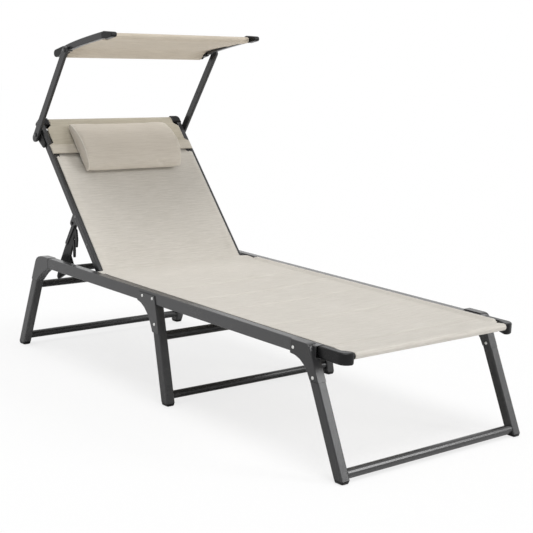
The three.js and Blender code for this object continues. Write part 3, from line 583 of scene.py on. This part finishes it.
def sling_lift(share, length, y, z):
    """Sags and ripples between the bars, is pulled in along the quilting, and lies over the
    rails and the backrest tubes at its side edges. The hem turned under follows the seat."""
    along, out = back_place(y, z)
    edge = abs(share)
    seat = between(y, *SEAT_SPAN)
    back = between(along, *BACK_SPAN) if y > 0.4 else 0
    bow = 1 - share * share
    sag = SEAT_SAG * bow * seat
    quilting = 0
    if seat > 0:
        for line in QUILT_LINES:
            gap = (y - line - QUILT_SLANT * share) / QUILT_WIDTH
            uneven = 0.6 + 0.4 * noise.noise(Vector((share * 2, line * 9, 1)))
            quilting -= QUILT_DEPTH * math.exp(-gap * gap) * uneven
        quilting = quilting * seat * bow ** 0.3
    if length < FOOT_TURN:
        return sag - quilting
    ripple = noise.noise(Vector((share * 1.1, length * 9, 0.3))) * RIPPLE * (seat + back) * bow
    on_rail = between(y, *RAIL_SPAN)
    on_tube = between(along, *TUBE_SPAN) * (y > 0.39)
    raised = (RAIL_RISE * on_rail * smooth_step(edge, *RAIL_SIDE)
              + (TUBE_FRONT - out) * on_tube * smooth_step(edge, *TUBE_SIDE))
    turn = (y - CREASE[0]) / CREASE_WIDTH
    crease = (-CREASE_DEPTH * math.exp(-turn * turn) * (z < 0.36)
              * (1 - smooth_step(edge, *CREASE_SIDE)))
    return -sag - BACK_SAG * bow * back + ripple + quilting + raised + crease


sling, sling_length, sling_area = cloth_sheet(
    "sling", sling_path(), sling_half, sling_lift, SLING_CLOTH, spacing=0.0046, columns=56)
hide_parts("seat_sling", "backrest_sling")
hinge_side = on_back(0, LOWER_BAR_PLACE, LOWER_BAR_RADIUS)
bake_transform(sling)

foot_stitches = stitches("foot_hem_stitches", [
    (x, FOOT_HEM_ROW, SEAT_PLANE + FOOT_HEM_ROW_OUT
     + sling_lift(x / SEAT_HALF, 1.0, FOOT_HEM_ROW, SEAT_PLANE))
    for x in (-FOOT_HEM_ROW_HALF + 0.0100 * step for step in range(61))])
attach(foot_stitches, "frame")


# Hood: a pocket over the top of the backrest, with a turned hem as wide as the frame

# How far out of the backrest the hood lies, the lower and upper edge of its hem along it,
# its half widths and its sag
HOOD_OUT = 0.0138
HOOD_HEM = 0.4755
HOOD_BAND = 0.5125
HOOD_HALF = 0.2992
HOOD_SIDE_HALF = 0.2822
HOOD_CORNER_HALF = 0.2631
HOOD_SAG = 0.00064

# Places along the backrest where the hood narrows above its hem and at the corner caps, and
# where it hangs free
HOOD_SHOULDER = (0.5115, 0.5185)
HOOD_CORNER = (0.578, 0.5945)
HOOD_SPAN = ((0.478, 0.50), (0.585, 0.61))

# The turned hem, and the row of stitches at each of its ends
HEM_HALF = 0.2990
HEM_CORNER = 0.004
HEM_OUT = 0.0150
HEM_CLOTH_THICKNESS = 0.0012
HEM_ROW = HOOD_BAND - 0.006
HEM_ROW_OUT = 0.0157
HEM_ROW_HALF = 0.291


def hood_path():
    shoulder = TOP_BAR_PLACE - 0.004
    line = [on_back(0, HOOD_HEM, HOOD_OUT), on_back(0, shoulder, HOOD_OUT)]
    line += over_top_bar(HOOD_OUT, 0.97 * HOOD_OUT, end=-90, steps=16)
    line += [on_back(0, shoulder, -HOOD_OUT), on_back(0, HOOD_HEM, -HOOD_OUT)]
    return [(point.y, point.z) for point in line]


def hood_half(length, y, z):
    along, _ = back_place(y, z)
    half = eased(HOOD_HALF, HOOD_SIDE_HALF, along, *HOOD_SHOULDER)
    return eased(half, HOOD_CORNER_HALF, along, *HOOD_CORNER)


def hood_lift(share, length, y, z):
    along, _ = back_place(y, z)
    free = between(along, *HOOD_SPAN)
    pucker = noise.noise(Vector((share * 5.5, along * 8, 4.0))) * 0.0009
    return -HOOD_SAG * (1 - share ** 4) * free + pucker * free


hood, hood_length, hood_area = cloth_sheet(
    "headrest_hood_cloth", hood_path(), hood_half, hood_lift, HOOD_CLOTH, spacing=0.0055,
    columns=56)
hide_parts("headrest_hood")
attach(hood, "backrest")


def hood_strip(face):
    """One half of the turned hem: a strip across the front, face 1, or the rear, face -1."""
    straight = HEM_HALF - HEM_CORNER
    end = [(straight + HEM_CORNER * math.sin(math.radians(turn)),
            HEM_CORNER * (1 - math.cos(math.radians(turn)))) for turn in range(0, 90, 15)]
    line = [(-x, drop) for x, drop in reversed(end)]
    line += [(-straight + straight * step / 40, 0) for step in range(1, 80)]
    line += end
    rows = [(HOOD_HEM - 0.0012, 0.0004), (HOOD_HEM, 0.0018), (HOOD_HEM + 0.002, 0.0022),
            (HOOD_HEM + 0.012, 0.0008), (HOOD_BAND - 0.005, 0.0001),
            (HOOD_BAND - 0.0015, 0.0003), (HOOD_BAND, -0.0010)]
    points, places = [], []
    for along, swell in rows:
        for x, drop in line:
            pucker = noise.noise(Vector((x * 14, face * 3, along * 25))) * 0.0004
            points.append(on_back(x, along, face * (HEM_OUT - drop + swell + pucker)))
            places.append((x, along, 0))
    faces = grid_faces(len(rows) - 1, len(line) - 1)
    return make_cloth("strip", points, places, faces, HEM_CLOTH, HEM_CLOTH_THICKNESS)[0]


band = merged("headrest_hood_hem", [hood_strip(1), hood_strip(-1)])
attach(band, "backrest")
hood_row = stitches("hood_hem_stitches", [
    on_back(x, HEM_ROW, HEM_ROW_OUT) for x in (-HEM_ROW_HALF, HEM_ROW_HALF)])
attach(hood_row, "backrest")


# Pillow: a stuffed wedge with piping round both ends, flat against the hood.
# Its section is given along the backrest and out of the hood.

PILLOW_BACK = 0.0154
PILLOW_HALF = 0.205
PILLOW_SECTION = [
    (0.410, 0.000), (0.390, 0.002), (0.383, 0.008), (0.384, 0.016), (0.390, 0.025),
    (0.400, 0.033), (0.415, 0.0405), (0.436, 0.0465), (0.460, 0.0495), (0.484, 0.0495),
    (0.508, 0.0460), (0.532, 0.0405), (0.556, 0.0325), (0.577, 0.0230), (0.590, 0.0140),
    (0.594, 0.007), (0.590, 0.002), (0.575, 0.000), (0.53, 0.000), (0.47, 0.000)]

# The point that its ends shrink towards, its stations across as shares of its half width,
# what the stuffed cover is held within, and the piping
PILLOW_MIDDLE = (0.490, 0.020)
PILLOW_STATIONS = (-1, -0.985, -0.94, -0.85, -0.7, -0.5, -0.25, 0,
                   0.25, 0.5, 0.7, 0.85, 0.94, 0.985, 1)
PILLOW_REACH = 0.2055
PILLOW_ENDS = (0.3825, 0.5975)
PIPING_INSET = 0.0025
PIPING_RADIUS = 0.0019
PIPING_OUT = 0.0006


def pillow_form(ring):
    """The cover before it is stuffed: the section at each station, a little smaller at the
    ends, closed by a fan of faces round its middle."""
    count, points, faces = len(ring), [], []
    along, out = PILLOW_MIDDLE
    for station in PILLOW_STATIONS:
        keep = 1 - 0.05 * abs(station) ** 10
        for s, n in ring:
            points.append(on_back(station * PILLOW_HALF, along + (s - along) * keep,
                                  PILLOW_BACK + out + (n - out) * keep))
    last = len(PILLOW_STATIONS) - 1
    for row in range(last):
        first, second = row * count, (row + 1) * count
        for index in range(count):
            after = (index + 1) % count
            faces.append((first + after, first + index, second + index, second + after))
    for row in (0, last):
        middle = len(points)
        points.append(on_back(PILLOW_STATIONS[row] * PILLOW_HALF, along, PILLOW_BACK + out))
        for index in range(count):
            a, b = row * count + index, row * count + (index + 1) % count
            faces.append((b, a, middle) if row else (a, b, middle))
    return make("pillow_cover", points, faces, PILLOW_CLOTH)


def stuff(made, voxel, pressure, cap, frames=20):
    """Fills a closed cover by a cloth simulation and keeps the result, no point further than
    cap from its start."""
    remesh = made.modifiers.new("even", "REMESH")
    remesh.mode = "VOXEL"
    remesh.voxel_size = voxel
    settle(made)
    shade_smooth(made)
    start = [vertex.co.copy() for vertex in made.data.vertices]
    cloth = made.modifiers.new("stuffing", "CLOTH")
    for key, value in (
            ("quality", 6), ("mass", 0.3), ("use_pressure", True),
            ("uniform_pressure_force", pressure), ("tension_stiffness", 18),
            ("compression_stiffness", 8), ("shear_stiffness", 6),
            ("bending_stiffness", 0.4)):
        setattr(cloth.settings, key, value)
    cloth.settings.effector_weights.gravity = 0
    cloth.collision_settings.use_collision = False
    cloth.point_cache.frame_start = 1
    cloth.point_cache.frame_end = frames
    scene = bpy.context.scene
    for step in range(1, frames + 1):
        scene.frame_set(step)
    settle(made)
    scene.frame_set(1)
    for vertex, home in zip(made.data.vertices, start):
        move = vertex.co - home
        if move.length > cap:
            vertex.co = home + move * (cap / move.length)


def crease_pillow(cover):
    """Creases the stuffed cover, gathers its ends, draws its low corner on the left in, and
    holds it on the hood and within its length and width."""
    for vertex in cover.data.vertices:
        across = vertex.co.x
        along, out = back_place(vertex.co.y, vertex.co.z)
        crease = noise.noise(Vector((across * 9, along * 22, out * 30))) * 0.0012
        gather = (smooth_step(abs(across), 0.15, PILLOW_HALF)
                  * noise.noise(Vector((along * 70, out * 90, 2))) * 0.0018)
        out = max(out + crease + gather, PILLOW_BACK - 0.0004)
        across = min(max(across, -PILLOW_REACH), PILLOW_REACH)
        along = min(max(along, PILLOW_ENDS[0]), PILLOW_ENDS[1])
        across -= (0.010 * smooth_step(across, 0.10, PILLOW_HALF)
                   * (1 - smooth_step(along, 0.40, 0.50)))
        vertex.co = on_back(across, along, out)
    smoothing = cover.modifiers.new("soften", "SMOOTH")
    smoothing.factor = 0.5
    smoothing.iterations = 1
    subdivision = cover.modifiers.new("finer", "SUBSURF")
    subdivision.levels = subdivision.render_levels = 1
    settle(cover)
    shade_smooth(cover)


pillow_ring = resampled(PILLOW_SECTION + PILLOW_SECTION[:1], 0.008)[:-1]
pillow = pillow_form(pillow_ring)
stuff(pillow, voxel=0.0055, pressure=2.5, cap=0.006)
crease_pillow(pillow)
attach(pillow, "backrest")
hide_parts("pillow")


def pillow_piping():
    """A cord round each end of the pillow, laid on the surface of its stuffed cover."""
    tree = BVHTree.FromPolygons([vertex.co for vertex in pillow.data.vertices],
                                [tuple(face.vertices) for face in pillow.data.polygons])
    cords = []
    for side in (-1, 1):
        loop = []
        for along, out in pillow_ring:
            near, normal, _, _ = tree.find_nearest(
                on_back(side * (PILLOW_HALF - PIPING_INSET), along, PILLOW_BACK + out))
            loop.append(near + normal * PIPING_OUT)
        # The cords' lighter cloth is a painted highlight along the piping's ridges.
        cords.append(tube("seam", loop, PIPING_RADIUS, LIT_PIPING_CLOTH, 6, closed=True))
    return merged("pillow_piping", cords)


piping = pillow_piping()
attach(piping, "backrest")


# Canopy cloth: one bowed sheet under the two bars, each end turned over its bar and laid back
# on top as a hem

# How far the cloth bows up, the length turned over each bar, and how far that lies above
CANOPY_BOW = 0.004
CANOPY_HEM = 0.041
CANOPY_HEM_LIFT = 0.0018

# Places ahead of the tilt pins where the cloth is as wide as the side tubes leave room
CANOPY_WIDE_SPAN = ((-0.199, -0.190), (0.022, 0.036))


def canopy_path():
    wrap = CANOPY_BAR_RADIUS + CLOTH
    rear = (TILT_PIN.y + CANOPY_REAR[0], TILT_PIN.z + CANOPY_REAR[1])
    front = (TILT_PIN.y + CANOPY_FRONT[0], TILT_PIN.z + CANOPY_FRONT[1])
    lean = math.atan2(front[1] - rear[1], rear[0] - front[0])
    down = (-math.sin(lean) * wrap, -math.cos(lean) * wrap)
    start, end = ((bar[0] + down[0], bar[1] + down[1]) for bar in (rear, front))
    crest = ((start[0] + end[0]) / 2, (start[1] + end[1]) / 2 + 2 * CANOPY_BOW)

    def along(share, above=0.0):
        y, z = bend((start, crest, end), share)
        return (y, z + above)

    upright = 90 - math.degrees(lean)
    path = [along(share, CANOPY_HEM_LIFT) for share in (0.14, 0.11)]
    path += arc(rear, wrap, upright + 35, upright - 183, 20)
    path += [along(step / 28) for step in range(1, 28)]
    path += arc(front, wrap, upright - 177, upright - 395, 20)
    path += [along(share, CANOPY_HEM_LIFT) for share in (0.89, 0.86)]
    return path


def canopy_half(length, y, z):
    wide = between(y - TILT_PIN.y, *CANOPY_WIDE_SPAN)
    return CANOPY_HALF + (TUBE_INSIDE - CANOPY_HALF) * wide


def tube_underside(ahead):
    """The height of a side tube's underside above the tilt pins."""
    places = (bend(CANOPY_TUBE, step / 40) for step in range(41))
    nearest = min(places, key=lambda place: abs(place[0] - ahead))
    return nearest[1] - CANOPY_TUBE_HALF_DEPTH


canopy_cut = running_lengths(canopy_path())[-1]


def canopy_lift(share, length, y, z):
    """Raises the cloth with the side tubes, its side edges a little above their underside,
    and folds it faintly across. The turned-over hems lie the other way up."""
    ahead = y - TILT_PIN.y
    side = smooth_step(abs(share), 0.5, 0.97)
    free = between(ahead, (-0.205, -0.165), (-0.050 + 0.062 * side, 0.041))
    above = 0.0035 + 0.0060 * smooth_step(ahead, -0.14, -0.02)
    rise = (TILT_PIN.z + tube_underside(ahead) + above - z) * (0.5 + 0.5 * side)
    ripple = noise.noise(Vector((share * 2.4 + y * 3, y * 9, 7.0))) * 0.0020
    cross = noise.noise(Vector((share * 1.6, y * 30, 3.0))) * 0.0014
    turned_over = length < CANOPY_HEM or length > canopy_cut - CANOPY_HEM
    return (ripple + cross - rise) * free * (-1 if turned_over else 1)


shade, shade_length, shade_area = cloth_sheet(
    "canopy_sheet", canopy_path(), canopy_half, canopy_lift, CANOPY_CLOTH, spacing=0.0055,
    columns=64)
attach(shade, "canopy")
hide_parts("canopy_cloth")


# Finishes of the CAD parts, by how their names start

COATS = (
    (("foot_corner_cap", "foot_pad", "middle_pad", "rear_pad", "backrest_corner_cap",
      "backrest_end_plug", "arm_bracket", "canopy_front_cap", "canopy_rear_elbow",
      "prop_rack"), PLASTIC),
    (("hinge_pin",), STEEL),
    # Darker copy of the graphite coat: painted shade on the backrest tubes, canopy arms and side
    # tubes
    (("backrest_tube", "canopy_arm", "canopy_side_tube"), SHADED_UPPER_COAT),
    # Darker copy of the graphite coat: painted shade on the legs and foot brackets
    (("foot_leg", "foot_bracket", "middle_leg"), SHADED_LEG_COAT),
    (("foot_lower_crossbar",), POLISHED_COAT),
)

# Modifiers on the CAD parts: what counts as one point, how far edges are eased, and from
# which angle on they count as sharp
WELD = 0.00002
EASE = 0.0006
SHARP = math.radians(38)


def coat_of(node):
    for starts, material in COATS:
        if node.startswith(starts):
            return material
    return DARK_COAT if "bar" in node or node == "prop_axle" else GRAPHITE


def dress(part, material):
    """Gives a CAD part its finish, with its sharp edges eased by a modifier."""
    part.data.materials.clear()
    part.data.materials.append(material)
    weld = part.modifiers.new("weld", "WELD")
    weld.merge_threshold = WELD
    ease = part.modifiers.new("ease", "BEVEL")
    ease.width = EASE
    ease.segments = 2
    ease.limit_method = "ANGLE"
    ease.angle_limit = SHARP
    ease.harden_normals = False


for node, part in nodes.items():
    if not part.hide_render:
        dress(part, coat_of(node))


# Rivets and bolts: bright or coated round heads over the plain ones of the CAD parts

HEAD_AROUND = 20
HEAD_ROWS = 5

# How far across the faces that carry them lie
FOOT_FACE = 0.366
FOOT_INNER_FACE = 0.3363
PLATE_FACE = 0.3553
TUBE_FACE = 0.3035
ARM_FACE = 0.3234


def round_head(centre, side, radius, height, material):
    """A domed head that stands out of a face towards one side, 1 or -1 of X."""
    x, y, z = centre
    points, faces = [], []
    for row in range(HEAD_ROWS):
        angle = math.pi / 2 * row / HEAD_ROWS
        for step in range(HEAD_AROUND):
            turn = 2 * math.pi * step / HEAD_AROUND
            points.append((x + side * height * math.sin(angle),
                           y + radius * math.cos(angle) * math.cos(turn),
                           z + radius * math.cos(angle) * math.sin(turn)))
    top = len(points)
    points.append((x + side * height, y, z))
    for row in range(HEAD_ROWS - 1):
        faces += ring_faces(row * HEAD_AROUND, (row + 1) * HEAD_AROUND, HEAD_AROUND)
    last = (HEAD_ROWS - 1) * HEAD_AROUND
    faces += [(last + step, last + (step + 1) % HEAD_AROUND, top) for step in range(HEAD_AROUND)]
    faces.append(tuple(reversed(range(HEAD_AROUND))))
    if side < 0:
        faces = [face[::-1] for face in faces]
    return make("head", points, faces, material)


def round_heads(name, body, outer, radius, height, material, inner=()):
    """Heads on both sides of the lounger, on its outer faces and on inner ones."""
    heads = [round_head((side * x, y, z), side * facing, radius, height, material)
             for facing, places in ((1, outer), (-1, inner))
             for side in (-1, 1) for x, y, z in places]
    row = merged(name, heads)
    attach(row, body)


round_heads("frame_rivets", "frame",
            [(FOOT_FACE, -0.62949, 0.324), (FOOT_FACE, -0.71209, 0.259),
             (PLATE_FACE, 0.03233, 0.324), (PLATE_FACE, 0.08483, 0.324),
             (PLATE_FACE, 0.01783, 0.246)], radius=0.0050, height=0.0026, material=RIVET,
            inner=[(FOOT_INNER_FACE, -0.71209, 0.259)])
round_heads("backrest_rivets", "backrest",
            [on_back(TUBE_FACE, along, 0) for along in (0.113, 0.226)],
            radius=0.0050, height=0.0026, material=DULL_RIVET)
round_heads("canopy_arm_bolts", "canopy_arms",
            [(ARM_FACE, *ARM_PIN), (ARM_FACE, TILT_PIN.y, TILT_PIN.z)],
            radius=0.0048, height=0.0020, material=DULL_RIVET)


# Studio: a pale floor, a white sky that shows behind and in reflections but lights less, and
# two soft suns

WHITE = (1, 1, 1, 1)
FLOOR_HALF = 14
FLOOR_GLOW = 0.76
SKY_LIGHT = 0.38
SUNS = (("overhead", (0.10, 0.15, -0.98), 1.7, 35), ("front", (-0.60, 0.66, -0.45), 0.85, 22))


def studio_floor():
    finish = Finish("pale floor", {"Base Color": (0.95, 0.95, 0.95, 1), "Roughness": 0.9})
    glow = finish.node("ShaderNodeEmission", {}, {"Color": WHITE})
    surface = finish.node("ShaderNodeMixShader", {}, {
        0: finish.ray("Is Camera Ray") * FLOOR_GLOW,
        1: Wire(finish, finish.shader.outputs[0]), 2: glow})
    finish.feed(finish.tree.nodes["Material Output"].inputs["Surface"], surface)
    corners = [(-1, -1), (1, -1), (1, 1), (-1, 1)]
    floor = make("studio_floor", [(x * FLOOR_HALF, y * FLOOR_HALF, 0) for x, y in corners],
                 [(0, 1, 2, 3)], finish.material)


def studio_light():
    world = bpy.data.worlds.new("studio")
    bpy.context.scene.world = world
    world.use_nodes = True
    sky = Nodes(world.node_tree)
    background = sky.tree.nodes["Background"]
    reflected = sky.ray("Is Glossy Ray").high(sky.ray("Is Transmission Ray"))
    seen = sky.ray("Is Camera Ray").high(reflected)
    sky.feed(background.inputs["Color"], WHITE)
    sky.feed(background.inputs["Strength"], seen * (1 - SKY_LIGHT) + SKY_LIGHT)
    for name, direction, strength, softness in SUNS:
        lamp = bpy.data.lights.new(name, "SUN")
        lamp.energy = strength
        lamp.angle = math.radians(softness)
        holder = bpy.data.objects.new(name, lamp)
        holder.rotation_euler = Vector(direction).to_track_quat("-Z", "Y").to_euler()
        bpy.context.scene.collection.objects.link(holder)


# Camera, fitted to the photo's view. Its angles are in degrees, its lens in millimetres.

CAMERA_PLACE = (-2.558375, -3.036678, 1.175514)
CAMERA_YAW, CAMERA_PITCH, CAMERA_ROLL = 40.921, 11.056, 2.566
CAMERA_LENS = 85.09
SENSOR_WIDTH = 36


def camera():
    yaw, pitch, roll = (math.radians(angle)
                        for angle in (CAMERA_YAW, CAMERA_PITCH, CAMERA_ROLL))
    ahead = Vector((math.sin(yaw) * math.cos(pitch), math.cos(yaw) * math.cos(pitch),
                    -math.sin(pitch)))
    level_right = Vector((math.cos(yaw), -math.sin(yaw), 0))
    level_up = Vector((math.sin(yaw) * math.sin(pitch), math.cos(yaw) * math.sin(pitch),
                       math.cos(pitch)))
    right = level_right * math.cos(roll) + level_up * math.sin(roll)
    up = level_up * math.cos(roll) - level_right * math.sin(roll)
    lens = bpy.data.cameras.new("camera")
    lens.lens = CAMERA_LENS
    lens.sensor_width = SENSOR_WIDTH
    lens.clip_end = 60
    holder = bpy.data.objects.new("camera", lens)
    turn = Matrix((right, up, -ahead)).transposed().to_4x4()
    holder.matrix_world = Matrix.Translation(CAMERA_PLACE) @ turn
    bpy.context.scene.collection.objects.link(holder)
    bpy.context.scene.camera = holder


studio_floor()
studio_light()
camera()
bpy.context.scene.view_settings.view_transform = "Standard"
